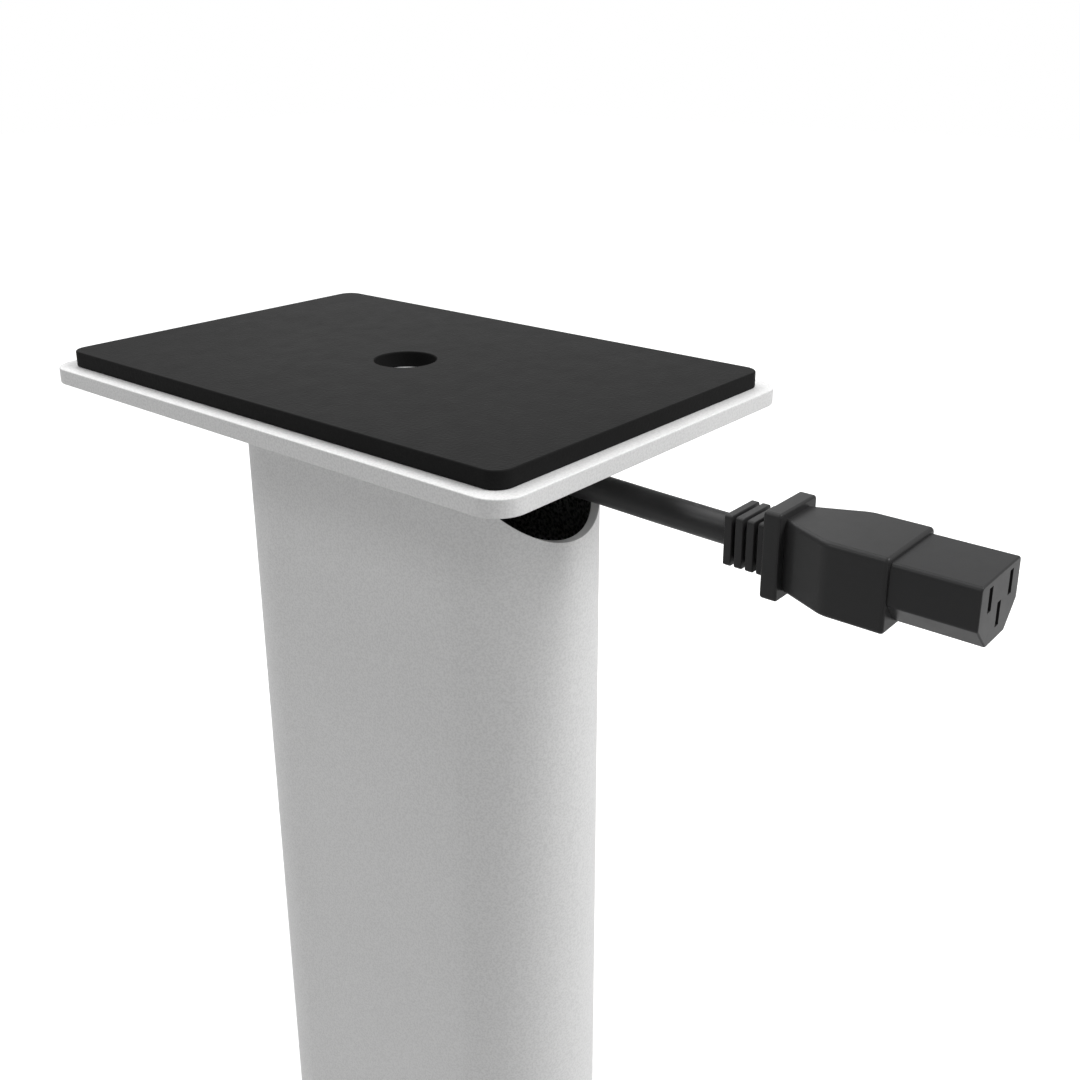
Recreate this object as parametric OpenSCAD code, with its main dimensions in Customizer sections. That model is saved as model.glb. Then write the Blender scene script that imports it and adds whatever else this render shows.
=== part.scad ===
// Floor stand for a small loudspeaker. A hollow pillar stands on a steel base with levelling feet.
// A turning top plate with a rubber pad is carried in the pillar's top, and a power cord runs inside.
// Units are millimetres, +Z is up, the floor is z = 0 and the rear, where the cord leaves, is +Y.

/* [Overall] */
// Height from the floor to the top of the pad
stand_h = 660; // [620:5:760]
// Gap between pieces that move past each other
run_gap = 0.3; // [0.2:0.05:0.5]
// Clearance between pieces that are fixed in each other
fit_gap = 0.1; // [0.05:0.05:0.2]
// Clearance on the radius of a shaft in its bore
bore_gap = 0.05; // [0.02:0.01:0.09]

/* [Top plate and pad] */
// Length of the top plate, front to rear
top_l = 200; // [180:1:240]
// Width of the top plate
top_w = 133.4; // [120:0.2:170]
// Thickness of the top plate
top_t = 5.1; // [4:0.1:8]
// Radius of the top plate's corners
top_corner_r = 9; // [4:0.5:20]
// Rim of bare plate left around the pad
pad_margin = 5.1; // [2:0.1:10]
// Thickness of the pad
pad_t = 5.2; // [3.5:0.1:8]
// Radius of the pad's corners
pad_corner_r = 5.5; // [2:0.5:15]
// Diameter of the hole through the middle of the pad
pad_hole_d = 20; // [16:0.5:30]

/* [Pillar] */
// Width of the pillar across its flat sides
pillar_w = 61; // [58:0.5:80]
// Length of the pillar over its round ends
pillar_l = 136; // [125:1:160]
// Wall of the pillar tube
pillar_wall = 2.8; // [1.5:0.1:4]
// How far the pillar's middle lies behind the middle of the top plate
pillar_back = 2.8; // [0:0.1:6]
// Radius of the scallop cut in the rear of the pillar's top
notch_r = 30; // [22:0.5:30.5]
// Depth of the scallop's centre below the pillar's top
notch_drop = 2.7; // [0:0.1:8]
// Radius of the cord arch in the rear of the pillar's foot
arch_r = 15; // [10:0.5:20]

/* [Swivel] */
// Turn of the top plate each way, in degrees
swivel_turn = 15; // [5:1:25]
// Diameter of the swivel hub's boss
boss_d = 28; // [22:1:32]
// Diameter of the swivel hub's flange
flange_d = 46; // [44:1:50]
// Thickness of the swivel hub's flange
flange_t = 4; // [3:0.5:6]
// Thickness of the low-friction ring under the flange
ring_t = 1.5; // [1:0.1:2.5]
// Thickness of the top bracket
bracket_t = 5; // [4:0.5:8]
// Length of the collar under the top bracket
collar_h = 10; // [8.5:0.5:12]
// Wall of the collar round the hub's boss
collar_wall = 6; // [4:0.5:7]
// Circle that the hub screws and the stop pin stand on, as a radius
hub_ring_r = 18; // [17.5:0.5:19]
// Diameter of the stop pin
stop_pin_d = 4; // [3:0.5:4.5]
// Thickness of the clamp washer
clamp_t = 3; // [2:0.5:4]
// How far the front part of the top bracket reaches behind the hub's axis
bracket_reach = 30; // [24:1:36]

/* [Fasteners] */
// Thread diameter of the pivot bolt
pivot_d = 8; // [6:1:10]
// Length of the pivot bolt over its head
pivot_len = 40; // [40:1:60]
// Thread diameter of the hub screws
hub_screw_d = 4; // [3:0.5:5]
// Thread diameter of the lock screw
lock_d = 6; // [5:1:8]
// Travel of the lock screw out of the collar
lock_travel = 3; // [2:0.5:4]
// Thread diameter of the base screws
base_screw_d = 6; // [5:1:8]
// Share of a screw's diameter that its countersunk head measures
csk_head_share = 2; // [1.8:0.1:2.2]

/* [Base] */
// Length of the base plate, front to rear
base_l = 300; // [240:5:360]
// Width of the base plate
base_w = 250; // [200:5:320]
// Thickness of the base plate
base_t = 6; // [5:0.5:10]
// Radius of the base plate's corners
base_corner_r = 12; // [5:1:30]
// Thickness of the bracket in the pillar's foot
sole_t = 10; // [8:1:14]
// Width of the cord slot in the rear of that bracket
sole_slot_w = 22; // [16:1:24]

/* [Levelling feet] */
// Distance from the base plate's edges to each foot's axis
foot_inset = 20; // [18:1:40]
// Thread diameter of a foot
foot_d = 8; // [6:1:10]
// Diameter of a foot's steel disc
foot_disc_d = 28; // [22:1:36]
// Thickness of the steel disc
foot_disc_t = 5; // [4:0.5:8]
// Diameter of the rubber cup under a foot
foot_cup_d = 32; // [28:1:40]
// Height of the rubber cup
foot_cup_h = 5; // [4:0.5:8]
// Rubber under the steel disc
foot_sole_t = 3; // [2:0.5:5]
// Length of the stud above the steel disc
foot_stud_len = 17; // [14:1:30]
// Thickness of a lock nut
locknut_t = 4; // [3:0.5:6]

/* [Power cord] */
// Diameter of the cord
cord_d = 8.7; // [7:0.1:9]
// Radius of the coil's outer turn
coil_r = 52; // [46:1:60]
// Distance between neighbouring turns and layers of the coil
coil_pitch = 9.2; // [9.1:0.1:11]
// Whole turns in the coil
coil_turns = 3; // [3:1:4]

/* [Connector] */
// Width of the connector's insert
insert_w = 24.6; // [22:0.1:26]
// Height of the connector's insert
insert_h = 17.5; // [15:0.1:19]
// Length of insert that stands out of the body
insert_len = 22; // [17:0.1:24]
// Leg of the two bevelled lower corners of the insert
insert_bevel = 6.5; // [4:0.1:8]
// Distance from the middle slot to each outer slot
slot_pitch = 6.4; // [5.5:0.1:7]
// Width of a contact slot
slot_w = 2.2; // [1.6:0.1:2.6]
// Height of a contact slot
slot_h = 6.4; // [5:0.1:7]
// Width of the connector's body
body_w = 26.8; // [25:0.1:30]
// Height of the connector's body
body_h = 19.8; // [18:0.1:22]
// Length of the connector's body in front of its flange
body_len = 30.8; // [26:0.1:40]
// Width of the connector's body at its flange
body_root_w = 13.6; // [12:0.1:17]
// Length of the stretch that widens from there
flare_len = 14.2; // [10:0.1:16]
// Radius of the bend where the sides turn straight
flare_r = 8; // [4:0.5:30]
// Width of the connector's flange
guard_w = 19.3; // [18:0.1:24]
// Height of the connector's flange
guard_h = 24.2; // [22:0.1:28]
// Thickness of the connector's flange
guard_t = 4.9; // [3:0.1:6]
// Width of the ribs on the strain relief
rib_w = 14.3; // [12:0.1:16]
// Height of the ribs on the strain relief
rib_h = 14.3; // [12:0.1:16]
// Thickness of a rib
rib_t = 2.3; // [1.5:0.1:3]
// Distance from rib to rib
rib_step = 3.35; // [2.8:0.05:4]
// Number of ribs
rib_count = 4; // [2:1:5]
// Radius of the moulded corners
mould_r = 1.2; // [0.5:0.1:1.5]

/* [Mains plug] */
// Width of the plug's body
plug_w = 26; // [24:0.5:32]
// Height of the plug's body
plug_h = 24; // [22:0.5:30]
// Length of the plug's body
plug_len = 30; // [24:0.5:40]
// Length of the tapered strain relief at the plug
relief_len = 28; // [20:1:40]
// Distance between the two blades
blade_gap = 12.7; // [11:0.1:14]
// Width of a blade
blade_w = 6.3; // [6:0.1:8]
// Thickness of a blade
blade_t = 1.5; // [1.3:0.1:2]
// Length of a blade outside the plug
blade_len = 17.5; // [15:0.5:20]
// Diameter of the earth pin
earth_d = 4.8; // [4:0.1:5]
// Length of the earth pin outside the plug
earth_len = 21; // [18:0.5:24]
// Distance from the blades to the earth pin
earth_drop = 11.9; // [10:0.1:12]

/* [Hidden] */
$fn = 48;
// One overrun serves every cut
over = 1;

// Heights of the main pieces above the floor
plate_z1 = stand_h - pad_t;
plate_z0 = plate_z1 - top_t;
pillar_z1 = plate_z0 - run_gap;
base_z0 = foot_sole_t + foot_disc_t + run_gap;
base_z1 = base_z0 + base_t;
pillar_h = pillar_z1 - base_z1;

// The scallop is cut from where it meets the pillar's skin, so that no thin edge is left
notch_z = pillar_z1 - notch_drop;
round_y = (pillar_l - pillar_w) / 2;
pillar_rear = pillar_back + pillar_l / 2;
notch_in = notch_r > pillar_w / 2 - pillar_wall
    ? sqrt(max(0, pow(pillar_w / 2, 2) - pow(notch_r, 2))) : 0;
notch_from = pillar_back + round_y + notch_in;

// Swivel, from the plate's underside down
flange_z0 = plate_z0 - flange_t;
bracket_z1 = flange_z0 - run_gap - ring_t;
bracket_z0 = bracket_z1 - bracket_t;
collar_z0 = bracket_z0 - collar_h;
boss_z0 = collar_z0 - run_gap;
clamp_z0 = boss_z0 - clamp_t;
collar_d = boss_d + 2 * collar_wall;
pivot_hole_d = pivot_d + 4 * fit_gap;
spring_t_share = 0.25;
spring_t = spring_t_share * pivot_d;
spring_d_share = 1.85;
spring_split_share = 0.25;
nut_across_share = 1.625;
nut_h_share = 0.8;
nut_collar_share = 0.2;
nut_collar_d_share = 0.88;
nut_z1 = clamp_z0 - spring_t;
pin_slot_w = stop_pin_d + 2 * run_gap;
pin_depth_share = 0.8;
pin_h = bracket_t * pin_depth_share + ring_t + flange_t;
pin_z0 = bracket_z1 - bracket_t * pin_depth_share;
hub_screw_len = top_t + flange_t * pin_depth_share;
hub_screw_angles = [45, 135, 225, 315];

// Lock screw, on the left flat side, pointing at the boss
lock_z = collar_z0 + collar_h / 2;
lock_hole_clear = 0.4;
lock_tip_x = -(boss_d / 2 + run_gap);
lock_seat_x = -(pillar_w / 2 + run_gap);
lock_head_d_share = 1.75;
lock_head_h_share = 0.55;
socket_share = 0.6;
socket_depth_share = 0.55;

// Base screws, in the bracket in the pillar's foot
base_screw_x_share = 0.31;
base_screw_y_share = 0.34;
base_screw_x = base_screw_x_share * pillar_w;
base_screw_y = base_screw_y_share * pillar_l;
base_screw_len = base_t + sole_t * pin_depth_share;
sole_slot_l_share = 0.34;
sole_slot_from = pillar_rear - sole_slot_l_share * pillar_l;

// Feet and lock nuts
foot_x = base_w / 2 - foot_inset;
foot_y = base_l / 2 - foot_inset;
foot_places = [[foot_x, foot_y], [-foot_x, foot_y], [-foot_x, -foot_y], [foot_x, -foot_y]];
disc_z1 = foot_sole_t + foot_disc_t;
foot_edge_share = 0.15;
nut_bevel_share = 0.12;

// Connector, measured along +Y from the rear face of its strain relief
conn_y0 = 124.9;
conn_drop = 21.6;
conn_z = plate_z1 - conn_drop;
rib_clear = 0.4;
relief_run = rib_step * (rib_count - 1) + rib_t + rib_clear;
guard_y0 = conn_y0 + relief_run;
shell_y0 = guard_y0 + guard_t;
shell_y1 = shell_y0 + body_len;
insert_y1 = shell_y1 + insert_len;
core_share = 0.8;
root_len = 12;
root_share = 0.82;
slot_depth = 16;
earth_slot_drop_share = 0.92;
slot_rise_share = 0.22;
contact_back = 2.5;
contact_gap_share = 0.42;

// Coil of spare cord on the floor behind the base, and its tie
tie_t = 0.8;
tie_len = 12;
tie_room = 0.5;
tie_r = 2;
coil_z = 5.5;
coil_y = 222;
coil_x = -coil_r;
coil_steps = 24;
coil_sides = 6;
cord_sides = 10;

// Plug, measured along +X from the rear face of its strain relief
plug_x0 = 44;
plug_y = 266;
plug_z = plug_h / 2 + fit_gap;
plug_x1 = plug_x0 + relief_len;
plug_x2 = plug_x1 + plug_len;
neck_share = 0.4;
neck_w_share = 0.8;
neck_h_share = 0.74;
plug_corner_share = 0.27;
relief_ribs = 6;
relief_thin = 1.2;
relief_wide_share = 0.3;
rib_dip_share = 0.13;
rib_fill_share = 0.55;
blade_root = 8;
blade_rise_share = 0.17;
blade_hole_share = 0.5;
blade_tip_share = 0.3;

// Route of the cord. Its upper stretches are given as depths below the top plate's upper face
lead_route = [[0, 62, 20.3], [0, 71, 20.3], [0, 80, 20.5], [0, 90, 20.8], [0, 100, 21.1],
    [0, 109, 21.3], [0, 117, 21.5], [0, 124.9, 21.6]];
top_bend_route = [[0, 62, 20.3], [0, 53.5, 20.3], [0, 46, 21.7], [0, 38, 24.4],
    [0, 30.5, 28.8], [0, 24, 34.6], [0, 18.5, 41.8], [0, 14.5, 50.4], [0, 12.5, 59.5],
    [0, 12, 69]];
function hung(route) = [for (p = route) [p[0], p[1], plate_z1 - p[2]]];
lead_points = hung(lead_route);

// Inside the pillar it sways a little, in even steps between the two bends
sway = [12.5, 13, 13.5, 14, 14.5, 15, 15, 14.5, 14, 13, 12, 11, 10, 9.5, 9, 9, 9.5, 10.5, 11.5,
    12];
foot_bend_points = [[0, 12, 67], [0, 13.5, 54], [0, 17.5, 43.4], [0, 24, 34.2], [0, 32, 27.2],
    [0, 41, 22.3], [0, 50, 19.5], [0, 55.5, 18.9], [0, 64, 18.9]];
top_bend_points = hung(top_bend_route);
sway_from = top_bend_points[len(top_bend_points) - 1][2];
sway_to = foot_bend_points[0][2];
sway_points = [for (i = [0 : len(sway) - 1])
    [0, sway[i], sway_from + (sway_to - sway_from) * (i + 1) / (len(sway) + 1)]];
riser_points = concat(top_bend_points, sway_points, foot_bend_points);

// Out over the base, down to the floor behind it and on to the coil
tail_points = [[0, 64, 18.9], [0, 75, 18.9], [0, 95, 18.9], [0, 115, 18.9], [0, 135, 18.9],
    [0, 150, 18.9], [0, 158, 18.2], [0, 167, 15.8], [0, 176, 12.3], [0, 184, 9.1],
    [0, 192, 6.8], [0, 200, 5.7], [0, 205, 5.5], [0, 213.3, 5.5]];

// From the coil's last turn to the plug
end_points = [[0, 230.7, 14.7], [0, 239, 14.5], [3.5, 249, 13.8], [11, 258, 12.9],
    [22, 264, 12.3], [35.5, 266, 12.1], [44, 266, 12.1]];

// Flat outlines

// Rectangle with round corners, centred
module rounded(w, l, r) {
    square([w - 2 * r, l], center = true);
    square([w, l - 2 * r], center = true);
    for (sx = [-1, 1], sy = [-1, 1])
        translate([sx * (w / 2 - r), sy * (l / 2 - r)]) circle(r = r);
}

// Outline with two flat sides and two round ends, centred on the pillar
module pillar_outline(inset) {
    w = pillar_w - 2 * inset;
    translate([0, pillar_back]) {
        square([w, 2 * round_y], center = true);
        for (s = [-1, 1]) translate([0, s * round_y]) circle(d = w);
    }
}

// Hexagon measured across its flats
module hexagon(across) circle(d = across / cos(30), $fn = 6);

// Fasteners, made along +Z with the head's top at z = 0 and the shank below it

module countersunk_screw(d, len) {
    head = csk_head_share * d;
    head_h = (head - d) / 2;
    difference() {
        union() {
            translate([0, 0, -len]) cylinder(d = d, h = len);
            translate([0, 0, -head_h]) cylinder(d1 = d, d2 = head, h = head_h);
        }
        translate([0, 0, -head_h * socket_share])
            linear_extrude(head_h) hexagon(d * socket_share);
    }
}

// The hole that a countersunk screw sits in
module countersunk_hole(d, len) {
    hole = d + 2 * fit_gap;
    head = csk_head_share * d + 2 * fit_gap;
    head_h = (head - hole) / 2;
    translate([0, 0, -len - over]) cylinder(d = hole, h = len + over);
    translate([0, 0, -head_h]) cylinder(d1 = hole, d2 = head, h = head_h);
    cylinder(d = head, h = over);
}

// Screw with a low round head above z = 0, a hex socket and its shank below
module button_screw(d, len, head_d, head_h) {
    difference() {
        union() {
            translate([0, 0, -len]) cylinder(d = d, h = len + head_h / 2);
            cylinder(d = head_d, h = head_h / 2);
            translate([0, 0, head_h / 2])
                cylinder(d1 = head_d, d2 = head_d * socket_share, h = head_h / 2);
        }
        translate([0, 0, head_h * (1 - socket_depth_share)])
            linear_extrude(head_h) hexagon(head_d * socket_share * socket_share);
    }
}

// Hexagon nut with bevelled corners, standing on z = 0
module hex_nut(across, h, bore) {
    bevel = nut_bevel_share * across;
    difference() {
        intersection() {
            linear_extrude(h) hexagon(across);
            union() {
                cylinder(d = across / cos(30), h = h - bevel / 2);
                translate([0, 0, h - bevel / 2])
                    cylinder(d1 = across / cos(30), d2 = across - bevel / 2, h = bevel / 2);
            }
        }
        translate([0, 0, -over]) cylinder(d = bore, h = h + 2 * over);
    }
}

// Top plate and the pieces that turn with it

module top_pad() color("#2e2e2e") translate([0, 0, plate_z1])
    linear_extrude(pad_t) difference() {
        rounded(top_w - 2 * pad_margin, top_l - 2 * pad_margin, pad_corner_r);
        circle(d = pad_hole_d);
    }

module top_plate() color("#dededc") difference() {
    translate([0, 0, plate_z0]) linear_extrude(top_t) rounded(top_w, top_l, top_corner_r);
    translate([0, 0, plate_z1]) countersunk_hole(pivot_d, top_t);
    for (a = hub_screw_angles) rotate(a) translate([hub_ring_r, 0, plate_z1])
        countersunk_hole(hub_screw_d, top_t);
}

// Curved slot that lets the stop pin pass through half a swing each way
module pin_slot(h) {
    rotate(-90 - swivel_turn) rotate_extrude(angle = 2 * swivel_turn)
        translate([hub_ring_r - pin_slot_w / 2, 0]) square([pin_slot_w, h]);
    for (a = [-90 - swivel_turn, -90 + swivel_turn])
        rotate(a) translate([hub_ring_r, 0]) cylinder(d = pin_slot_w, h = h);
}

module swivel_hub() color("#8b8d90") difference() {
    union() {
        translate([0, 0, flange_z0]) cylinder(d = flange_d, h = flange_t);
        translate([0, 0, boss_z0]) cylinder(d = boss_d, h = plate_z0 - boss_z0);
    }
    translate([0, 0, boss_z0 - over]) cylinder(d = pivot_hole_d, h = pivot_len + 2 * over);
    translate([0, 0, flange_z0 - over]) pin_slot(flange_t + 2 * over);
    for (a = hub_screw_angles) rotate(a) translate([hub_ring_r, 0, flange_z0 - over])
        cylinder(d = hub_screw_d + 2 * fit_gap, h = flange_t + 2 * over);
}

module hub_screws() color("#6f7174") for (a = hub_screw_angles)
    rotate(a) translate([hub_ring_r, 0, plate_z1])
        countersunk_screw(hub_screw_d, hub_screw_len);

module pivot_bolt() color("#3a3b3d") translate([0, 0, plate_z1])
    countersunk_screw(pivot_d, pivot_len);

module clamp_washer() color("#9a9c9f") translate([0, 0, clamp_z0]) difference() {
    cylinder(d = collar_d, h = clamp_t);
    translate([0, 0, -over]) cylinder(d = pivot_hole_d, h = clamp_t + 2 * over);
}

module spring_washer() color("#77797c") translate([0, 0, nut_z1]) difference() {
    cylinder(d = spring_d_share * pivot_d, h = spring_t);
    translate([0, 0, -over]) cylinder(d = pivot_hole_d, h = spring_t + 2 * over);
    translate([0, -spring_split_share * spring_t, -over])
        cube([pivot_d, 2 * spring_split_share * spring_t, spring_t + 2 * over]);
}

module pivot_nut() color("#8b8d90") {
    nut_h = nut_h_share * pivot_d;
    ring_h = nut_collar_share * pivot_d;
    across = nut_across_share * pivot_d;
    translate([0, 0, nut_z1]) mirror([0, 0, 1]) {
        hex_nut(across, nut_h, pivot_d + 2 * fit_gap);
        translate([0, 0, nut_h]) difference() {
            cylinder(d = across * nut_collar_d_share, h = ring_h);
            translate([0, 0, -over]) cylinder(d = pivot_d + 2 * fit_gap, h = ring_h + 2 * over);
        }
    }
}

// Pieces fixed in the pillar's top

module glide_ring() color("#e9e6dc") translate([0, 0, bracket_z1]) difference() {
    cylinder(d = flange_d, h = ring_t);
    translate([0, 0, -over]) cylinder(d = boss_d + 2 * run_gap, h = ring_t + 2 * over);
    translate([0, -hub_ring_r, -over])
        cylinder(d = stop_pin_d + 2 * fit_gap, h = ring_t + 2 * over);
}

module top_bracket() color("#b9babb") difference() {
    union() {
        translate([0, 0, bracket_z0]) linear_extrude(bracket_t) intersection() {
            pillar_outline(pillar_wall + fit_gap);
            translate([-pillar_w / 2, bracket_reach - pillar_l])
                square([pillar_w, pillar_l]);
        }
        translate([0, 0, collar_z0]) cylinder(d = collar_d, h = collar_h + bracket_t);
    }
    translate([0, 0, collar_z0 - over])
        cylinder(d = boss_d + 2 * bore_gap, h = collar_h + bracket_t + 2 * over);
    translate([0, -hub_ring_r, pin_z0]) cylinder(d = stop_pin_d + 2 * fit_gap, h = bracket_t);
    translate([0, 0, lock_z]) rotate([0, -90, 0])
        cylinder(d = lock_d + 2 * bore_gap, h = collar_d / 2 + over);
}

module stop_pin() color("#6f7174") translate([0, -hub_ring_r, pin_z0])
    cylinder(d = stop_pin_d, h = pin_h);

module lock_screw() color("#3a3b3d") translate([lock_seat_x, 0, lock_z]) rotate([0, -90, 0])
    button_screw(lock_d, lock_tip_x - lock_seat_x, lock_head_d_share * lock_d,
        lock_head_h_share * lock_d);

// Pillar and base

module pillar() color("#dededc") difference() {
    translate([0, 0, base_z1]) linear_extrude(pillar_h) difference() {
        pillar_outline(0);
        pillar_outline(pillar_wall);
    }
    translate([0, notch_from, notch_z]) rotate([-90, 0, 0])
        cylinder(r = notch_r, h = pillar_rear - notch_from + over);
    translate([-notch_r, notch_from, notch_z])
        cube([2 * notch_r, pillar_rear - notch_from + over, notch_drop + over]);
    translate([0, pillar_back + round_y, base_z1]) rotate([-90, 0, 0])
        cylinder(r = arch_r, h = pillar_w);
    translate([0, 0, lock_z]) rotate([0, -90, 0])
        cylinder(d = lock_d + 2 * lock_hole_clear, h = pillar_w);
}

// Places of the four base screws
module base_screw_places() {
    for (sx = [-1, 1], sy = [-1, 1])
        translate([sx * base_screw_x, pillar_back + sy * base_screw_y, base_z0])
            mirror([0, 0, 1]) children();
}

module sole_bracket() color("#b9babb") difference() {
    translate([0, 0, base_z1]) linear_extrude(sole_t) difference() {
        pillar_outline(pillar_wall + fit_gap);
        translate([-sole_slot_w / 2, sole_slot_from]) square([sole_slot_w, pillar_l]);
    }
    base_screw_places() translate([0, 0, -base_t - sole_t - over])
        cylinder(d = base_screw_d + 2 * fit_gap, h = sole_t + 2 * over);
}

module base_plate() color("#dededc") difference() {
    translate([0, 0, base_z0]) linear_extrude(base_t) rounded(base_w, base_l, base_corner_r);
    for (p = foot_places) translate([p[0], p[1], base_z0 - over])
        cylinder(d = foot_d + 2 * bore_gap, h = base_t + 2 * over);
    base_screw_places() countersunk_hole(base_screw_d, base_t);
}

module base_screws() color("#6f7174")
    base_screw_places() countersunk_screw(base_screw_d, base_screw_len);

module foot_locknuts() color("#6f7174") for (p = foot_places)
    translate([p[0], p[1], base_z1])
        hex_nut(nut_across_share * foot_d, locknut_t, foot_d + 2 * bore_gap);

// Steel disc and stud of one levelling foot
module foot_stud(i) color("#6f7174") translate([foot_places[i][0], foot_places[i][1], 0]) {
    edge = foot_edge_share * foot_disc_t;
    difference() {
        union() {
            translate([0, 0, foot_sole_t]) cylinder(d = foot_disc_d, h = foot_disc_t - edge);
            translate([0, 0, disc_z1 - edge])
                cylinder(d1 = foot_disc_d, d2 = foot_disc_d - 2 * edge, h = edge);
            translate([0, 0, foot_sole_t]) cylinder(d = foot_d, h = foot_disc_t + foot_stud_len);
        }
        translate([0, 0, disc_z1 + foot_stud_len * pin_depth_share])
            linear_extrude(foot_stud_len) hexagon(foot_d / 2);
    }
}

// Rubber cup pressed over the disc of one foot
module foot_cup(i) color("#262626") translate([foot_places[i][0], foot_places[i][1], 0])
    difference() {
        cylinder(d = foot_cup_d, h = foot_cup_h);
        translate([0, 0, foot_sole_t])
            cylinder(d = foot_disc_d + 2 * fit_gap, h = foot_cup_h);
    }

// Cord

function unit(v) = v / norm(v);
function heading(p, i) = unit(p[min(i + 1, len(p) - 1)] - p[max(i - 1, 0)]);

// Ring of points round one point of a route; side is a direction that the route never takes
function ring(at, along, side, r, sides) =
    let (u = unit(cross(along, side)), v = cross(along, u))
    [for (k = [0 : sides - 1]) at + r * (cos(360 * k / sides) * u + sin(360 * k / sides) * v)];

// Round tube that follows a route
module tube(route, side, d, sides) {
    last = len(route) - 1;
    points = [for (i = [0 : last]) each ring(route[i], heading(route, i), side, d / 2, sides)];
    walls = [for (i = [0 : last - 1], k = [0 : sides - 1])
        let (a = i * sides + k, b = i * sides + (k + 1) % sides)
        each [[a, a + sides, b], [b, a + sides, b + sides]]];
    far = last * sides;
    ends = [for (k = [1 : sides - 2]) each [[0, k, k + 1], [far, far + k + 1, far + k]]];
    polyhedron(points, concat(walls, ends));
}

// Coil: turns spiral in, climb one layer in the half turn about the middle, and spiral out
function coil_in(t) = min(t, coil_turns - t);
function coil_up(t) = max(0, min(1, 2 * (t - coil_turns / 2) + 1 / 2));
function coil_point(t) = let (r = coil_r - coil_pitch * coil_in(t))
    [coil_x + r * cos(360 * t), coil_y + r * sin(360 * t), coil_z + coil_pitch * coil_up(t)];
coil_count = coil_turns * coil_steps;
coil_turns_points = [for (i = [0 : coil_count]) coil_point(i / coil_steps)];
coil_points = concat([coil_point(0) - [0, cord_d, 0]], coil_turns_points,
    [coil_point(coil_turns) + [0, cord_d, 0]]);

// Least gap between stretches of the coil that are half a turn or more apart
coil_gap = min([for (i = [0 : coil_count], j = [0 : coil_count])
    if (j - i >= coil_steps / 2) norm(coil_turns_points[i] - coil_turns_points[j])]) - cord_d;
echo("Least gap of the coil to itself, mm", coil_gap);

module cord_lead() color("#2b2b2b") tube(lead_points, [1, 0, 0], cord_d, cord_sides);
module cord_riser() color("#2b2b2b") tube(riser_points, [1, 0, 0], cord_d, cord_sides);
module cord_tail() color("#2b2b2b") tube(tail_points, [1, 0, 0], cord_d, cord_sides);
module cord_coil() color("#2b2b2b") tube(coil_points, [0, 0, 1], cord_d, coil_sides);
module cord_end() color("#2b2b2b") tube(end_points, [0, 0, 1], cord_d, cord_sides);

// Strap round the coil's bundle, on the side away from the cord's ends
module coil_tie() color("#1f1f1f") {
    mid = coil_turns / 2;
    near_r = coil_r - coil_pitch * mid - cord_d / 2 - 2 * tie_room;
    far_r = coil_r - coil_pitch * (mid - 1) + cord_d / 2 + tie_room;
    low = coil_z - cord_d / 2 - tie_room / 2;
    high = coil_z + coil_pitch + cord_d / 2 + tie_room;
    translate([coil_x - (near_r + far_r) / 2, coil_y - tie_len / 2, (low + high) / 2])
        rotate([-90, 0, 0]) linear_extrude(tie_len) difference() {
            rounded(far_r - near_r + 2 * tie_t, high - low + 2 * tie_t, tie_r + tie_t);
            rounded(far_r - near_r, high - low, tie_r);
        }
}

// Connector at the end of the lead

// Upright outline of a moulded block, extruded along +Y from y
module block_y(w, h, r, y, len)
    translate([0, y, conn_z]) rotate([-90, 0, 0]) linear_extrude(len) rounded(w, h, r);

// Plan of the shell: it widens from the flange, bends round and then runs straight
module shell_plan() {
    half = body_w / 2;
    root = body_root_w / 2;
    lean = atan((half - root) / flare_len);
    bend_y1 = flare_len + flare_r * tan(lean / 2);
    bend_y0 = bend_y1 - flare_r * sin(lean);
    hull() {
        polygon([[root, 0], [-root, 0], [0, bend_y0]]);
        intersection() {
            translate([half - flare_r, bend_y1]) circle(r = flare_r);
            translate([flare_r - half, bend_y1]) circle(r = flare_r);
            translate([-half, bend_y0]) square([body_w, bend_y1 - bend_y0]);
        }
        translate([-half, bend_y1]) square([body_w, body_len - bend_y1]);
    }
}

module connector_shell() color("#333333") difference() {
    union() {
        block_y(rib_w * core_share, rib_h * core_share, mould_r, conn_y0 + rib_t / 2, relief_run);
        for (i = [0 : rib_count - 1])
            block_y(rib_w, rib_h, mould_r, conn_y0 + i * rib_step, rib_t);
        block_y(guard_w, guard_h, mould_r, guard_y0, guard_t);
        translate([0, shell_y0, conn_z - body_h / 2]) linear_extrude(body_h) shell_plan();
    }
    translate([-insert_w * root_share / 2 - fit_gap, shell_y1 - root_len - fit_gap,
        conn_z - insert_h * root_share / 2 - fit_gap])
        cube([insert_w * root_share + 2 * fit_gap, root_len + over,
            insert_h * root_share + 2 * fit_gap]);
}

// Upright outline of the insert, with its two lower corners bevelled
module insert_outline() {
    x = insert_w / 2;
    z = insert_h / 2;
    polygon([[x, z], [-x, z], [-x, insert_bevel - z], [insert_bevel - x, -z],
        [x - insert_bevel, -z], [x, insert_bevel - z]]);
}

// Places of the three slots: two above, and the earth slot below between them
slot_rise = slot_rise_share * insert_h;
slot_places = [[slot_pitch, slot_rise], [-slot_pitch, slot_rise],
    [0, slot_rise - earth_slot_drop_share * slot_h]];

module connector_insert() color("#3a3a3a") difference() {
    union() {
        translate([0, insert_y1, conn_z]) rotate([90, 0, 0])
            linear_extrude(insert_len) insert_outline();
        translate([-insert_w * root_share / 2, shell_y1 - root_len,
            conn_z - insert_h * root_share / 2])
            cube([insert_w * root_share, root_len + over, insert_h * root_share]);
    }
    for (p = slot_places)
        translate([p[0] - slot_w / 2, insert_y1 - slot_depth, conn_z + p[1] - slot_h / 2])
            cube([slot_w, slot_depth + over, slot_h]);
}

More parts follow.
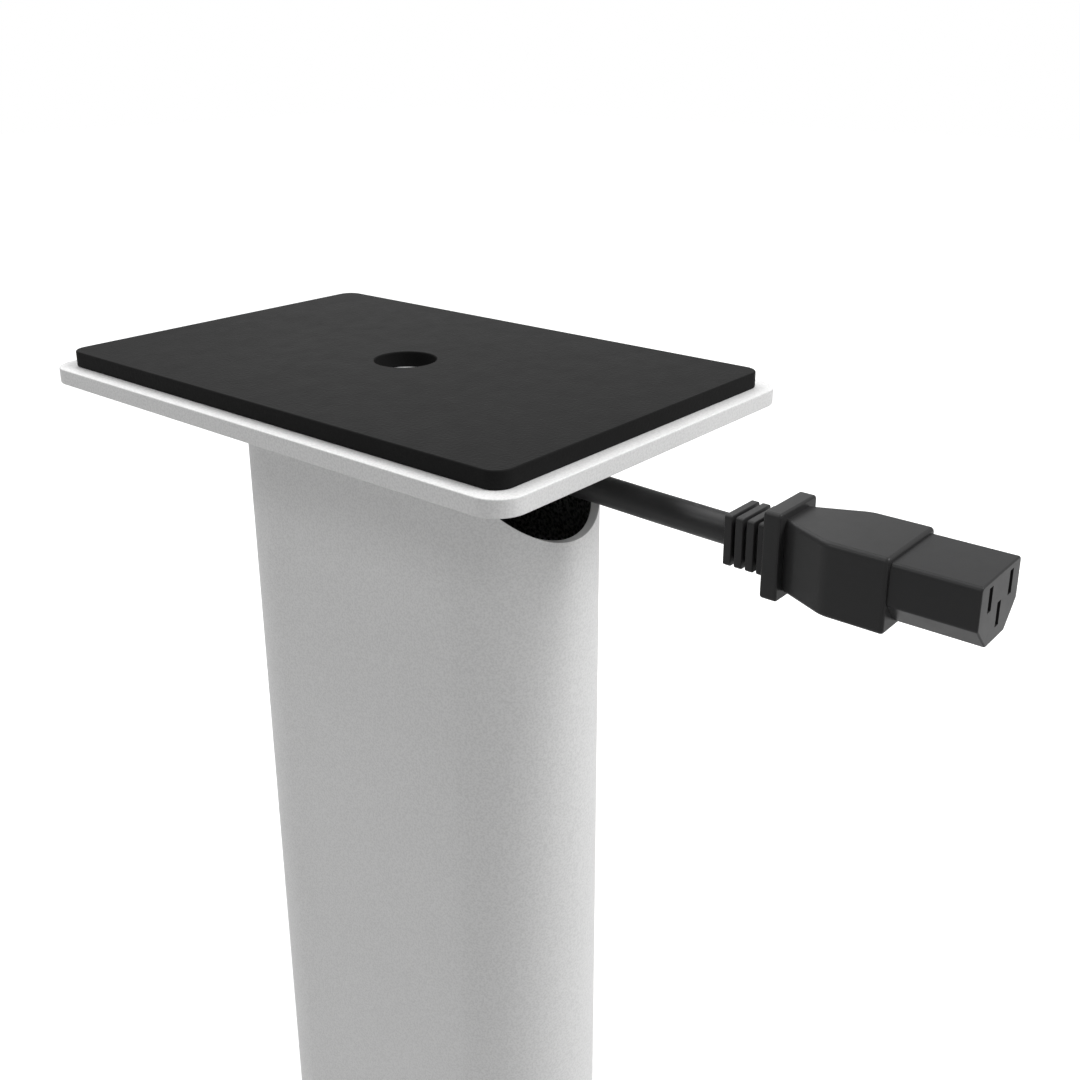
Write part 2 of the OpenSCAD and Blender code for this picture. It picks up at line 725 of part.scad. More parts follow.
// Folded contacts, set back in their slots
module connector_contacts() color("#c8a04a") for (p = slot_places) {
    w = slot_w - 2 * fit_gap;
    h = slot_h - 2 * fit_gap;
    len = slot_depth - contact_back - fit_gap;
    gap = w * contact_gap_share;
    translate([p[0] - w / 2, insert_y1 - slot_depth + fit_gap, conn_z + p[1] - h / 2])
        difference() {
            cube([w, len, h]);
            translate([(w - gap) / 2, gap, -over]) cube([gap, len, h + 2 * over]);
        }
}

// Plug at the end of the cord

// Upright outline of a moulded block, extruded along +X from x
module block_x(w, h, r, x, len)
    translate([x, plug_y, plug_z]) rotate([90, 0, 90]) linear_extrude(len) rounded(w, h, r);

// Half outline of the ribbed strain relief, thin end first
function relief_half(i) = relief_thin + cord_d / 2
    + (relief_wide_share * plug_h - relief_thin - cord_d / 2) * i / relief_ribs;
rib_len = relief_len / relief_ribs;
relief_outline = concat([[0, 0]], [for (i = [0 : relief_ribs - 1]) let (r = relief_half(i))
    each [[r, i * rib_len], [r, (i + rib_fill_share) * rib_len],
        [r * (1 - rib_dip_share), (i + rib_fill_share) * rib_len],
        [r * (1 - rib_dip_share), (i + 1) * rib_len]]], [[0, relief_len]]);

// Places of the two blades and the earth pin on the plug's face
blade_rise = blade_rise_share * plug_h;
blade_places = [[-blade_gap / 2, blade_rise], [blade_gap / 2, blade_rise]];

module plug_shell() color("#2b2b2b") difference() {
    union() {
        translate([plug_x0, plug_y, plug_z]) rotate([0, 90, 0])
            rotate_extrude() polygon(relief_outline);
        block_x(plug_w * neck_w_share, plug_h * neck_h_share, plug_corner_share * plug_h,
            plug_x1, plug_len);
        block_x(plug_w, plug_h, plug_corner_share * plug_h,
            plug_x1 + neck_share * plug_len, plug_len * (1 - neck_share));
    }
    for (p = blade_places)
        translate([plug_x2 - blade_root - fit_gap, plug_y + p[0] - blade_t / 2 - fit_gap,
            plug_z + p[1] - blade_w / 2 - fit_gap])
            cube([blade_root + over, blade_t + 2 * fit_gap, blade_w + 2 * fit_gap]);
    translate([plug_x2 - blade_root - fit_gap, plug_y, plug_z + blade_rise - earth_drop])
        rotate([0, 90, 0]) cylinder(d = earth_d + 2 * fit_gap, h = blade_root + over);
}

module plug_blades() color("#c9c9c6") for (p = blade_places) {
    len = blade_root + blade_len;
    tip = blade_tip_share * blade_w;
    translate([plug_x2 - blade_root, plug_y + p[0] + blade_t / 2, plug_z + p[1]])
        rotate([90, 0, 0]) linear_extrude(blade_t) difference() {
            polygon([[0, -blade_w / 2], [len - tip, -blade_w / 2], [len, tip - blade_w / 2],
                [len, blade_w / 2 - tip], [len - tip, blade_w / 2], [0, blade_w / 2]]);
            translate([len - blade_w, 0]) circle(d = blade_hole_share * blade_w);
        }
}

module plug_earth_pin() color("#c9c9c6")
    translate([plug_x2 - blade_root, plug_y, plug_z + blade_rise - earth_drop])
        rotate([0, 90, 0]) {
            cylinder(d = earth_d, h = blade_root + earth_len - earth_d / 2);
            translate([0, 0, blade_root + earth_len - earth_d / 2]) sphere(d = earth_d);
        }

top_pad();
top_plate();
swivel_hub();
hub_screws();
pivot_bolt();
clamp_washer();
spring_washer();
pivot_nut();
glide_ring();
top_bracket();
stop_pin();
lock_screw();
pillar();
sole_bracket();
base_plate();
base_screws();
foot_locknuts();
foot_stud(0);  // foot_stud_1
foot_stud(1);  // foot_stud_2
foot_stud(2);  // foot_stud_3
foot_stud(3);  // foot_stud_4
foot_cup(0);  // foot_cup_1
foot_cup(1);  // foot_cup_2
foot_cup(2);  // foot_cup_3
foot_cup(3);  // foot_cup_4
cord_lead();
cord_riser();
cord_tail();
cord_coil();
cord_end();
coil_tie();
connector_shell();
connector_insert();
connector_contacts();
plug_shell();
plug_blades();
plug_earth_pin();
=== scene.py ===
# Speaker stand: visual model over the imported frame.
import math
from math import cos, sin, pi, radians, sqrt

import bmesh
import bpy
from mathutils import Matrix, Vector


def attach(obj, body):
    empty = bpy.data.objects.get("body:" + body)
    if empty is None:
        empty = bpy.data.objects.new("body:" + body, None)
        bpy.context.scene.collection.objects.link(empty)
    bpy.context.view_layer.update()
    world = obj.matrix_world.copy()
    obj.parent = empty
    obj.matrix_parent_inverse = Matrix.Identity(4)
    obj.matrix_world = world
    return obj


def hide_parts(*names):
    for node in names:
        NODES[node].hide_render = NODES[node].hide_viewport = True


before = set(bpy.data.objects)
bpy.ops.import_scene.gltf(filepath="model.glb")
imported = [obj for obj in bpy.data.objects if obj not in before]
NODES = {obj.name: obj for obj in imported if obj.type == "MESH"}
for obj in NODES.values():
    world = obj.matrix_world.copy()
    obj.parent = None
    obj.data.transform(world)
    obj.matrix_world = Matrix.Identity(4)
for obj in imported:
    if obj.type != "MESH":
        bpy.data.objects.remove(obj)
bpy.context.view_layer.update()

MM = 0.001


# ---------------------------------------------------------------- camera

CAMERA_AT = (0.26709, 0.28024, 0.76031)
CAMERA_AZIMUTH, CAMERA_ELEVATION = radians(129.327), radians(18.835)
CAMERA_LENS, CAMERA_SENSOR = 41.18, 36
CAMERA_SHIFT = (-0.01258, -0.08339)


def make_camera():
    """Camera that looks down on the plate from behind, on the side away from the lock screw."""
    az, el = CAMERA_AZIMUTH, CAMERA_ELEVATION
    back = Vector((sin(az) * cos(el), -cos(az) * cos(el), sin(el)))
    data = bpy.data.cameras.new("camera")
    data.lens = CAMERA_LENS
    data.sensor_width = CAMERA_SENSOR
    data.shift_x, data.shift_y = CAMERA_SHIFT
    data.clip_start = 0.01
    data.clip_end = 60
    cam = bpy.data.objects.new("camera", data)
    cam.location = CAMERA_AT
    cam.rotation_euler = (-back).to_track_quat("-Z", "Y").to_euler()
    bpy.context.scene.collection.objects.link(cam)
    bpy.context.scene.camera = cam


make_camera()


# ---------------------------------------------------------------- sizes, in millimetres

PAD_W, PAD_L, PAD_R, PAD_HOLE_R = 123.2, 189.8, 5.5, 10.0
PAD_TOP = 660.0
PLATE_W, PLATE_L, PLATE_R = 133.4, 200.0, 9.0
PLATE_TOP = 654.8
PLATE_LOW = 649.7
BOLT_SEAT_R, BOLT_HOLE_R = 8.1, 4.1

# Tube: two half circles round middles that lie TUBE_HALF before and behind TUBE_Y
TUBE_R, TUBE_WALL, TUBE_Y, TUBE_HALF = 30.5, 2.8, 2.95, 37.65
PILLAR_TOP = 649.4
NOTCH_R, NOTCH_DROP = 30.0, 2.7
ARCH_R = 15.0
LOCK_Z, LOCK_HOLE_R = 633.9, 3.4
LOCK_SEAT_X = -30.8

BASE_W, BASE_L, BASE_R = 250.0, 300.0, 12.0
BASE_TOP = 14.3
BASE_LOW = 8.3
FOOT_X, FOOT_Y, STUD_HOLE_R = 105, 130, 4.05
SCREW_X, SCREW_Y, SCREW_MIDDLE_Y = 0.31 * 61, 0.34 * 136, 2.8
SCREW_HEAD_R, SCREW_HOLE_R = 6.1, 3.1

CORD_D = 8.7
COIL_R, COIL_PITCH, COIL_TURNS, COIL_Y, COIL_Z = 52.0, 9.2, 3, 222.0, 5.5

# Middle of the cord, from the notch to the connector, down the pillar, and over base and floor to the plug
LEAD_ROUTE = [(0, 62, 634.5), (0, 71, 634.5), (0, 80, 634.3), (0, 90, 634.0), (0, 100, 633.7),
              (0, 109, 633.5), (0, 117, 633.3), (0, 124.9, 633.2)]
TOP_BEND = [(0, 62, 634.5), (0, 53.5, 634.5), (0, 46, 633.1), (0, 38, 630.4), (0, 30.5, 626.0),
            (0, 24, 620.2), (0, 18.5, 613.0), (0, 14.5, 604.4), (0, 12.5, 595.3), (0, 12, 585.8)]
SWAY = [12.5, 13, 13.5, 14, 14.5, 15, 15, 14.5, 14, 13, 12, 11, 10, 9.5, 9, 9, 9.5, 10.5, 11.5, 12]
FOOT_BEND = [(0, 12, 67), (0, 13.5, 54), (0, 17.5, 43.4), (0, 24, 34.2), (0, 32, 27.2),
             (0, 41, 22.3), (0, 50, 19.5), (0, 55.5, 18.9), (0, 64, 18.9)]
SWAY_TOP, SWAY_FOOT = TOP_BEND[-1][2], FOOT_BEND[0][2]
RISER_ROUTE = TOP_BEND + [(0, y, SWAY_TOP + (SWAY_FOOT - SWAY_TOP) * (i + 1) / (len(SWAY) + 1))
                          for i, y in enumerate(SWAY)] + FOOT_BEND
TAIL_ROUTE = [(0, 64, 18.9), (0, 75, 18.9), (0, 95, 18.9), (0, 115, 18.9), (0, 135, 18.9),
              (0, 150, 18.9), (0, 158, 18.2), (0, 167, 15.8), (0, 176, 12.3), (0, 184, 9.1),
              (0, 192, 6.8), (0, 200, 5.7), (0, 205, 5.5), (0, 213.3, 5.5)]
END_ROUTE = [(0, 230.7, 14.7), (0, 239, 14.5), (3.5, 249, 13.8), (11, 258, 12.9), (22, 264, 12.3),
             (35.5, 266, 12.1), (44, 266, 12.1)]

# Connector, from its strain relief at CONN_Y0 to the insert's front at INSERT_Y1
CONN_Z = 633.2
CONN_Y0 = LEAD_ROUTE[-1][1]
RIB_STEP, RIB_T, RIBS, RIB_W, RIB_R = 3.35, 2.3, 4, 14.3, 0.8
CORE_W, CORE_H, CORE_R = 11.2, 11.4, 2.4
GUARD_Y0 = CONN_Y0 + RIB_STEP * (RIBS - 1) + RIB_T + 0.4
GUARD_W, GUARD_H, GUARD_R = 19.3, 24.2, 1.2
SHELL_Y0 = GUARD_Y0 + 4.9
SHELL_Y1 = SHELL_Y0 + 30.8
BODY_W, BODY_H, BODY_R = 26.8, 20.0, 1.5
BODY_ROOT_W, FLARE_LEN, FLARE_R = 13.6, 14.2, 8.0
INSERT_Y1 = SHELL_Y1 + 22.0
INSERT_SUNK = 11.9
INSERT_W, INSERT_H, INSERT_BEVEL, INSERT_R, INSERT_EASE = 24.6, 17.5, 6.5, 1.3, 0.5
SLOT_W, SLOT_H, SLOT_X, SLOT_DEPTH = 2.2, 6.4, 6.4, 16.0
PLUG_X0, PLUG_Y, PLUG_Z = 44.0, 266.0, 12.1


# ---------------------------------------------------------------- materials

def new_material(name, color, rough, metal, spec=0.5):
    """Plain shader with its constants set on its own sockets."""
    m = bpy.data.materials.new(name)
    m.use_nodes = True
    b = m.node_tree.nodes["Principled BSDF"]
    b.inputs["Base Color"].default_value = (*color, 1)
    b.inputs["Roughness"].default_value = rough
    b.inputs["Metallic"].default_value = metal
    b.inputs["Specular IOR Level"].default_value = spec
    return m


def node(m, kind, **props):
    """New shader node with its inputs and properties set by name."""
    n = m.node_tree.nodes.new(kind)
    for k, v in props.items():
        if k in n.inputs:
            n.inputs[k].default_value = v
        else:
            setattr(n, k, v)
    return n


def wire(m, a, out, b, inp):
    """Links an output of node a to an input of node b."""
    m.node_tree.links.new(a.outputs[out], b.inputs[inp])


def coords(m, scale=(1, 1, 1)):
    """Object coordinates, stretched."""
    t = node(m, "ShaderNodeTexCoord")
    g = node(m, "ShaderNodeMapping")
    g.inputs["Scale"].default_value = scale
    wire(m, t, "Object", g, "Vector")
    return g


def noise(m, scale, detail, rough, stretch=(1, 1, 1)):
    """Noise texture in object coordinates."""
    n = node(m, "ShaderNodeTexNoise", Scale=scale, Detail=detail, Roughness=rough)
    wire(m, coords(m, stretch), "Vector", n, "Vector")
    return n


def ramp(m, src, out, lo, hi, p0=0.3, p1=0.7):
    """Turns a texture's value into a colour or a grey between lo and hi."""
    r = node(m, "ShaderNodeValToRGB")
    r.color_ramp.elements[0].position = p0
    r.color_ramp.elements[1].position = p1
    r.color_ramp.elements[0].color = (*lo, 1) if hasattr(lo, "__len__") else (lo, lo, lo, 1)
    r.color_ramp.elements[1].color = (*hi, 1) if hasattr(hi, "__len__") else (hi, hi, hi, 1)
    wire(m, src, out, r, "Fac")
    return r


def bumped(m, layers):
    """Adds bump layers, each (texture node, output, strength, distance in metres), to the shader."""
    b = m.node_tree.nodes["Principled BSDF"]
    last = None
    for tex, out, strength, dist in layers:
        k = node(m, "ShaderNodeBump", Strength=strength, Distance=dist)
        wire(m, tex, out, k, "Height")
        if last:
            wire(m, last, "Normal", k, "Normal")
        last = k
    wire(m, last, "Normal", b, "Normal")


def coated(name, color, vary, rough, grain=1500.0, grain_d=0.00006, peel=260.0, peel_d=0.00008,
           rough_vary=0.05, spec=0.5):
    """A surface whose colour and roughness drift a little, with a fine grain over a soft unevenness."""
    m = new_material(name, color, rough, 0.0, spec)
    b = m.node_tree.nodes["Principled BSDF"]
    big = noise(m, 18.0, 4.0, 0.6)
    lo = tuple(max(0.0, c * (1 - vary)) for c in color)
    hi = tuple(min(1.0, c * (1 + vary)) for c in color)
    wire(m, ramp(m, big, "Fac", lo, hi), "Color", b, "Base Color")
    mid = noise(m, 140.0, 3.0, 0.6)
    wire(m, ramp(m, mid, "Fac", max(0.02, rough - rough_vary), min(1.0, rough + rough_vary)),
         "Color", b, "Roughness")
    bumped(m, [(noise(m, peel, 2.0, 0.5), "Fac", 0.5, peel_d),
               (noise(m, grain, 2.0, 0.6), "Fac", 0.7, grain_d)])
    return m


def speckled(name, color, dark, rough, scale, depth, spec):
    """Powder coat: tiny grains a little darker or lighter than the rest, each of them a low bump."""
    m = new_material(name, color, rough, 0.0, spec)
    b = m.node_tree.nodes["Principled BSDF"]
    fine = noise(m, scale, 1.5, 0.6)
    tone = ramp(m, fine, "Fac", tuple(c * dark for c in color), color, 0.36, 0.60)
    big = noise(m, 9.0, 3.0, 0.5)
    drift = ramp(m, big, "Fac", 0.975, 1.0, 0.35, 0.65)
    mul = node(m, "ShaderNodeMix", data_type="RGBA", blend_type="MULTIPLY")
    mul.inputs[0].default_value = 1.0
    wire(m, tone, "Color", mul, 6)
    wire(m, drift, "Color", mul, 7)
    wire(m, mul, 2, b, "Base Color")
    mid = noise(m, 220.0, 3.0, 0.6)
    wire(m, ramp(m, mid, "Fac", rough - 0.06, rough + 0.06), "Color", b, "Roughness")
    bumped(m, [(noise(m, 420.0, 2.0, 0.5), "Fac", 0.35, depth * 1.6),
               (fine, "Fac", 0.8, depth)])
    return m


def turned(name, color, rough):
    """Plated metal with faint rings and marks from turning."""
    m = new_material(name, color, rough, 1.0)
    b = m.node_tree.nodes["Principled BSDF"]
    big = noise(m, 60.0, 4.0, 0.6)
    lo = tuple(c * 0.86 for c in color)
    hi = tuple(min(1.0, c * 1.08) for c in color)
    wire(m, ramp(m, big, "Fac", lo, hi), "Color", b, "Base Color")
    fine = noise(m, 900.0, 3.0, 0.7, (1, 1, 4))
    wire(m, ramp(m, fine, "Fac", rough - 0.08, rough + 0.1), "Color", b, "Roughness")
    bumped(m, [(fine, "Fac", 0.4, 0.00002)])
    return m


def woven(name, color, pitch):
    """A strap of plain weave, from two crossed waves, its colour halved where the waves are low: painted
    shade in the weave's hollows.
    """
    m = new_material(name, color, 0.85, 0.0, 0.3)
    b = m.node_tree.nodes["Principled BSDF"]
    g = coords(m)
    per_metre = 1.0 / pitch / 6.2832
    warp = node(m, "ShaderNodeTexWave", wave_type="BANDS", bands_direction="Y", Scale=per_metre)
    weft = node(m, "ShaderNodeTexWave", wave_type="BANDS", bands_direction="DIAGONAL", Scale=per_metre)
    wire(m, g, "Vector", warp, "Vector")
    wire(m, g, "Vector", weft, "Vector")
    mix = node(m, "ShaderNodeMath", operation="MULTIPLY")
    wire(m, warp, "Fac", mix, 0)
    wire(m, weft, "Fac", mix, 1)
    # Colour falls to half where the crossed waves are low: painted shade between the threads.
    wire(m, ramp(m, mix, "Value", tuple(c * 0.5 for c in color), color, 0.1, 0.8), "Color",
         b, "Base Color")
    bumped(m, [(mix, "Value", 0.9, 0.00025)])
    return m


WHITE = speckled("powder_white", (0.80, 0.80, 0.798), 0.88, 0.46, 1500.0, 0.00004, 0.26)
# Dark grey for the tube's inner faces: painted shade for the dark hollow of the tube.
INSIDE_SHADE = speckled("inside_painted_shade", (0.14, 0.14, 0.14), 0.05, 0.85, 900.0, 0.00006, 0.1)
# Mid grey for the notch's rim: painted shade for the plate's shadow on the rim, not a colour of its own.
RIM_SHADE = coated("rim_painted_shade", (0.44, 0.44, 0.438), 0.12, 0.5, 900.0, 0.00004)
PRIMER = coated("black_primer", (0.008, 0.008, 0.008), 0.2, 0.75, spec=0.2)
OXIDE = coated("black_oxide", (0.014, 0.014, 0.015), 0.2, 0.45, 900.0, 0.00003, spec=0.4)
GLIDE = coated("glide_black", (0.012, 0.012, 0.012), 0.15, 0.5, 700.0, 0.00002)
PAD = coated("pad_rubber", (0.0125, 0.0125, 0.0125), 0.06, 0.50, 1000.0, 0.00014, 420.0, 0.00003,
             0.02, 0.027)
SOLE = coated("foot_rubber", (0.014, 0.014, 0.014), 0.2, 0.7, 900.0, 0.00008, spec=0.35)
JACKET = coated("cord_jacket", (0.012, 0.012, 0.0125), 0.12, 0.42, 900.0, 0.00003, 180.0,
                0.00006, 0.05, 0.32)
MOULDED = coated("moulded_dark", (0.028, 0.028, 0.0283), 0.05, 0.33, 1100.0, 0.000008, 240.0,
                 0.000008, 0.03, 0.145)
INSERT = coated("insert_dark", (0.026, 0.026, 0.0265), 0.05, 0.33, 1100.0, 0.000008, 240.0,
                0.000008, 0.03, 0.145)
ZINC = turned("zinc_plated", (0.52, 0.53, 0.54), 0.36)
BRASS = turned("spring_brass", (0.62, 0.45, 0.18), 0.32)
NICKEL = turned("nickel_plated", (0.66, 0.64, 0.60), 0.24)
STRAP = woven("strap_weave", (0.02, 0.02, 0.021), 0.0011)


# ---------------------------------------------------------------- mesh helpers

def rrect(w, l, r, n):
    """Counter-clockwise loop of a rectangle with round corners."""
    r = max(0.02, min(r, w / 2 - 0.01, l / 2 - 0.01))
    a, b = w / 2 - r, l / 2 - r
    out = []
    for k, (x, y) in enumerate(((a, b), (-a, b), (-a, -b), (a, -b))):
        for i in range(n + 1):
            t = radians(90 * k + 90 * i / n)
            out.append((x + r * cos(t), y + r * sin(t)))
    return out


def circle(r, n, x=0.0, y=0.0):
    """Counter-clockwise loop of a circle."""
    return [(x + r * cos(2 * pi * i / n), y + r * sin(2 * pi * i / n)) for i in range(n)]


def hexagon(across):
    """Six-sided outline from its width across the flats."""
    return circle(across / 2 / cos(pi / 6), 6)


def build(name, verts, faces, mats, index=None):
    """Object from points in millimetres, with its faces turned outwards."""
    me = bpy.data.meshes.new(name)
    me.from_pydata([Vector(v) * MM for v in verts], [], faces)
    for m in mats:
        me.materials.append(m)
    if index:
        for p, i in zip(me.polygons, index):
            p.material_index = i
    bm = bmesh.new()
    bm.from_mesh(me)
    bmesh.ops.recalc_face_normals(bm, faces=bm.faces)
    bm.to_mesh(me)
    bm.free()
    o = bpy.data.objects.new(name, me)
    bpy.context.scene.collection.objects.link(o)
    return o


def loft_data(loops, first, closed=False):
    """Points and faces of a skin over loops; closed joins the last loop to the first instead of capping."""
    n = len(loops[0])
    verts = [v for lp in loops for v in lp]
    faces = []
    last = len(loops) if closed else len(loops) - 1
    for i in range(last):
        a, b = first + i * n, first + ((i + 1) % len(loops)) * n
        for k in range(n):
            k2 = (k + 1) % n
            faces.append((a + k, a + k2, b + k2, b + k))
    if not closed:
        faces.append(tuple(first + k for k in reversed(range(n))))
        faces.append(tuple(first + (len(loops) - 1) * n + k for k in range(n)))
    return verts, faces


def loft(name, stacks, mats):
    """One object from one or more stacks of loops, each a closed body."""
    verts, faces = [], []
    for loops in stacks:
        v, f = loft_data(loops, len(verts))
        verts += v
        faces += f
    return build(name, verts, faces, mats)


def prism(name, outline, z0, z1, mats):
    """Outline raised from z0 to z1."""
    return loft(name, [[[(x, y, z0) for x, y in outline], [(x, y, z1) for x, y in outline]]], mats)


def eased(sections, e0, e1, steps):
    """Rounds both ends of a run of sections (place, width, height, radius) by easing their edges."""
    out = []
    p, w, h, r = sections[0]
    if e0:
        for i in range(steps):
            t = radians(90 * i / steps)
            out.append((p + e0 * (1 - cos(t)), w - 2 * e0 * (1 - sin(t)), h - 2 * e0 * (1 - sin(t)),
                        r - e0 * (1 - sin(t))))
        out.append((p + e0, w, h, r))
    else:
        out.append(sections[0])
    out += sections[1:-1]
    p, w, h, r = sections[-1]
    if e1:
        out.append((p - e1, w, h, r))
        for i in reversed(range(steps)):
            t = radians(90 * i / steps)
            out.append((p - e1 * (1 - cos(t)), w - 2 * e1 * (1 - sin(t)), h - 2 * e1 * (1 - sin(t)),
                        r - e1 * (1 - sin(t))))
    else:
        out.append(sections[-1])
    return out


def along_y(sections, z, n=6):
    """Loops across Y at the height z, from sections of place, width, height and corner radius."""
    return [[(x, p, z + y) for x, y in rrect(w, h, r, n)] for p, w, h, r in sections]


def along_x(sections, y0, z0, n):
    """The same across X, round the line through y0 and z0."""
    return [[(p, y0 + x, z0 + y) for x, y in rrect(w, h, r, n)] for p, w, h, r in sections]


def lathe_loops(profile, n):
    """Round loops about Z from (radius, height) pairs."""
    return [[(r * cos(2 * pi * i / n), r * sin(2 * pi * i / n), z) for i in range(n)]
            for r, z in profile]


def lathe(name, profile, mats, n):
    """Turned piece about Z from (radius, height) pairs; the first and last radius close it."""
    return loft(name, [lathe_loops(profile, n)], mats)


def move(o, matrix):
    """Moves the mesh itself, so the object keeps its place at the origin."""
    o.data.transform(matrix)
    return o


def evaluated(o):
    """Applies the modifiers."""
    deps = bpy.context.evaluated_depsgraph_get()
    me = bpy.data.meshes.new_from_object(o.evaluated_get(deps))
    old = o.data
    o.modifiers.clear()
    o.data = me
    bpy.data.meshes.remove(old)
    return o


def cut(o, cutters):
    """Cuts the cutters out of a piece and leaves a plain mesh."""
    for c in cutters:
        k = o.modifiers.new("cut", "BOOLEAN")
        k.operation = "DIFFERENCE"
        k.solver = "EXACT"
        k.object = c
    evaluated(o)
    for c in cutters:
        me = c.data
        bpy.data.objects.remove(c)
        bpy.data.meshes.remove(me)
    return o


def rod(r, z0, z1, n, x=0.0, y=0.0):
    """Upright round cutter."""
    return prism("cutter", circle(r, n, x, y), z0, z1, ())


def soften(o, width, segments=3, angle=35.0):
    """Rounds the edges that turn by more than the angle."""
    k = o.modifiers.new("bevel", "BEVEL")
    k.width = width * MM
    k.segments = segments
    k.limit_method = "ANGLE"
    k.angle_limit = radians(angle)
    k.use_clamp_overlap = True
    return evaluated(o)


def place(o, body, slot, *nodes, sharp=None):
    """Shades a piece smooth with even flats, ties it to its body and hides its CAD nodes; the slot is not
    used.
    """
    for p in o.data.polygons:
        p.use_smooth = True
    if sharp:
        o.data.set_sharp_from_angle(angle=radians(sharp))
    k = o.modifiers.new("normals", "WEIGHTED_NORMAL")
    k.mode = "FACE_AREA_WITH_ANGLE"
    k.weight = 50
    k.keep_sharp = True
    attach(o, body)
    if nodes:
        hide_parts(*nodes)
    return o


# ---------------------------------------------------------------- cords

def smooth_path(points, per=8):
    """Catmull-Rom curve through the points, then a light smoothing that keeps its two end stretches."""
    p = [Vector(q) for q in points]
    out = []
    for i in range(len(p) - 1):
        p0 = p[i - 1] if i else p[0] * 2 - p[1]
        p3 = p[i + 2] if i + 2 < len(p) else p[-1] * 2 - p[-2]
        p1, p2 = p[i], p[i + 1]
        for k in range(per):
            t = k / per
            out.append(0.5 * ((2 * p1) + (p2 - p0) * t + (2 * p0 - 5 * p1 + 4 * p2 - p3) * t * t
                              + (3 * p1 - p0 - 3 * p2 + p3) * t * t * t))
    out.append(p[-1])
    for _ in range(2):
        out = out[:2] + [(out[i - 1] + out[i] * 2 + out[i + 1]) / 4
                         for i in range(2, len(out) - 2)] + out[-2:]
    return out


def spaced(path, step):
    """The same path with points at even distances."""
    total = sum((b - a).length for a, b in zip(path, path[1:]))
    n = max(2, round(total / step))
    out, i, gone = [path[0]], 0, 0.0
    for k in range(1, n):
        want = total * k / n
        while gone + (path[i + 1] - path[i]).length < want:
            gone += (path[i + 1] - path[i]).length
            i += 1
        seg = path[i + 1] - path[i]
        out.append(path[i] + seg * ((want - gone) / seg.length))
    out.append(path[-1])
    return out


def tube(name, path, radius, mats, sides):
    """Round tube along a path in millimetres, with frames carried along so that it never twists."""
    loops = []
    t0 = (path[1] - path[0]).normalized()
    u = Vector((1, 0, 0)) if abs(t0.x) < 0.9 else Vector((0, 0, 1))
    u = (u - t0 * u.dot(t0)).normalized()
    for i, p in enumerate(path):
        t = (path[min(i + 1, len(path) - 1)] - path[max(i - 1, 0)]).normalized()
        u = (u - t * u.dot(t)).normalized()
        v = t.cross(u)
        loops.append([tuple(p + radius * (cos(2 * pi * k / sides) * u + sin(2 * pi * k / sides) * v))
                      for k in range(sides)])
    return loft(name, [loops], mats)


def coil_route():
    """Three turns in two layers: the spiral runs in, climbs where it reverses, and runs out."""
    pts = []
    count = COIL_TURNS * 48
    for i in range(count + 1):
        t = i / 48
        r = COIL_R - COIL_PITCH * min(t, COIL_TURNS - t)
        up = max(0.0, min(1.0, 2 * (t - COIL_TURNS / 2) + 0.5))
        pts.append((-COIL_R + r * cos(2 * pi * t), COIL_Y + r * sin(2 * pi * t),
                    COIL_Z + COIL_PITCH * up))
    return pts


lead_path = spaced(smooth_path(LEAD_ROUTE), 2.0)
riser_path = spaced(smooth_path(RISER_ROUTE), 4.0)
bottom_path = smooth_path(TAIL_ROUTE)[:-1] + smooth_path(
    [TAIL_ROUTE[-1]] + coil_route() + [END_ROUTE[0]], 4)[:-1] + smooth_path(END_ROUTE)
bottom_path = spaced(bottom_path, 2.5)

cord_top = place(tube("cord_top", lead_path, CORD_D / 2, [JACKET], 32), "stand", "cord_jacket",
                 "cord_lead")
place(tube("cord_inside", riser_path, CORD_D / 2, [JACKET], 24), "stand", "cord_jacket",
      "cord_riser")
cord_bottom = place(tube("cord_bottom", bottom_path, CORD_D / 2, [JACKET], 24), "stand",
                    "cord_jacket", "cord_tail", "cord_coil", "cord_end")


# ---------------------------------------------------------------- pad and top plate

pad = prism("pad", rrect(PAD_W, PAD_L, PAD_R, 12), PLATE_TOP + 0.02, PAD_TOP, [PAD])
cut(pad, [rod(PAD_HOLE_R, PLATE_TOP - 2, PAD_TOP + 2, 96)])
place(soften(pad, 0.45), "swivel", "pad_rubber", "top_pad")

plate = prism("plate", rrect(PLATE_W, PLATE_L, PLATE_R, 16), PLATE_LOW, PLATE_TOP, [WHITE])
sink = lathe("cutter", [(0.01, 640), (BOLT_HOLE_R, 640),
                        (BOLT_HOLE_R, PLATE_TOP - (BOLT_SEAT_R - BOLT_HOLE_R)),
                        (BOLT_SEAT_R, PLATE_TOP), (BOLT_SEAT_R, 656), (0.01, 656)], (), 64)
cut(plate, [sink])
place(soften(plate, 0.4), "swivel", "powder_coat", "top_plate")


# ---------------------------------------------------------------- pillar

def rear_angles(edge):
    """Angles from the rear middle at which the rear half circle gets a column: even steps of the notch's
    and the arch's own curves, without near doubles, and always the notch's two edges."""
    ro = TUBE_R
    angles = {round(math.asin(NOTCH_R * cos(pi * i / 72) / ro), 4) for i in range(73)}
    angles |= {round(math.asin(ARCH_R * cos(pi * i / 36) / ro), 4) for i in range(37)}
    angles |= {round(pi / 2, 4), round(-pi / 2, 4)}
    kept = []
    for a in sorted(angles, reverse=True):
        if not kept or kept[-1] - a > 0.006 or abs(abs(a) - edge) < 1e-4:
            if kept and abs(kept[-1] - a) < 0.006:
                kept.pop()
            kept.append(a)
    return kept


def notch_top(x):
    """Height of the notch's edge at x."""
    return PILLAR_TOP - NOTCH_DROP - sqrt(max(0.0, NOTCH_R ** 2 - x * x))


def arch_foot(x):
    """Height of the tube's lower edge at x, where the arch lets the cord out."""
    return BASE_TOP + (sqrt(ARCH_R ** 2 - x * x) if abs(x) < ARCH_R else 0.0)


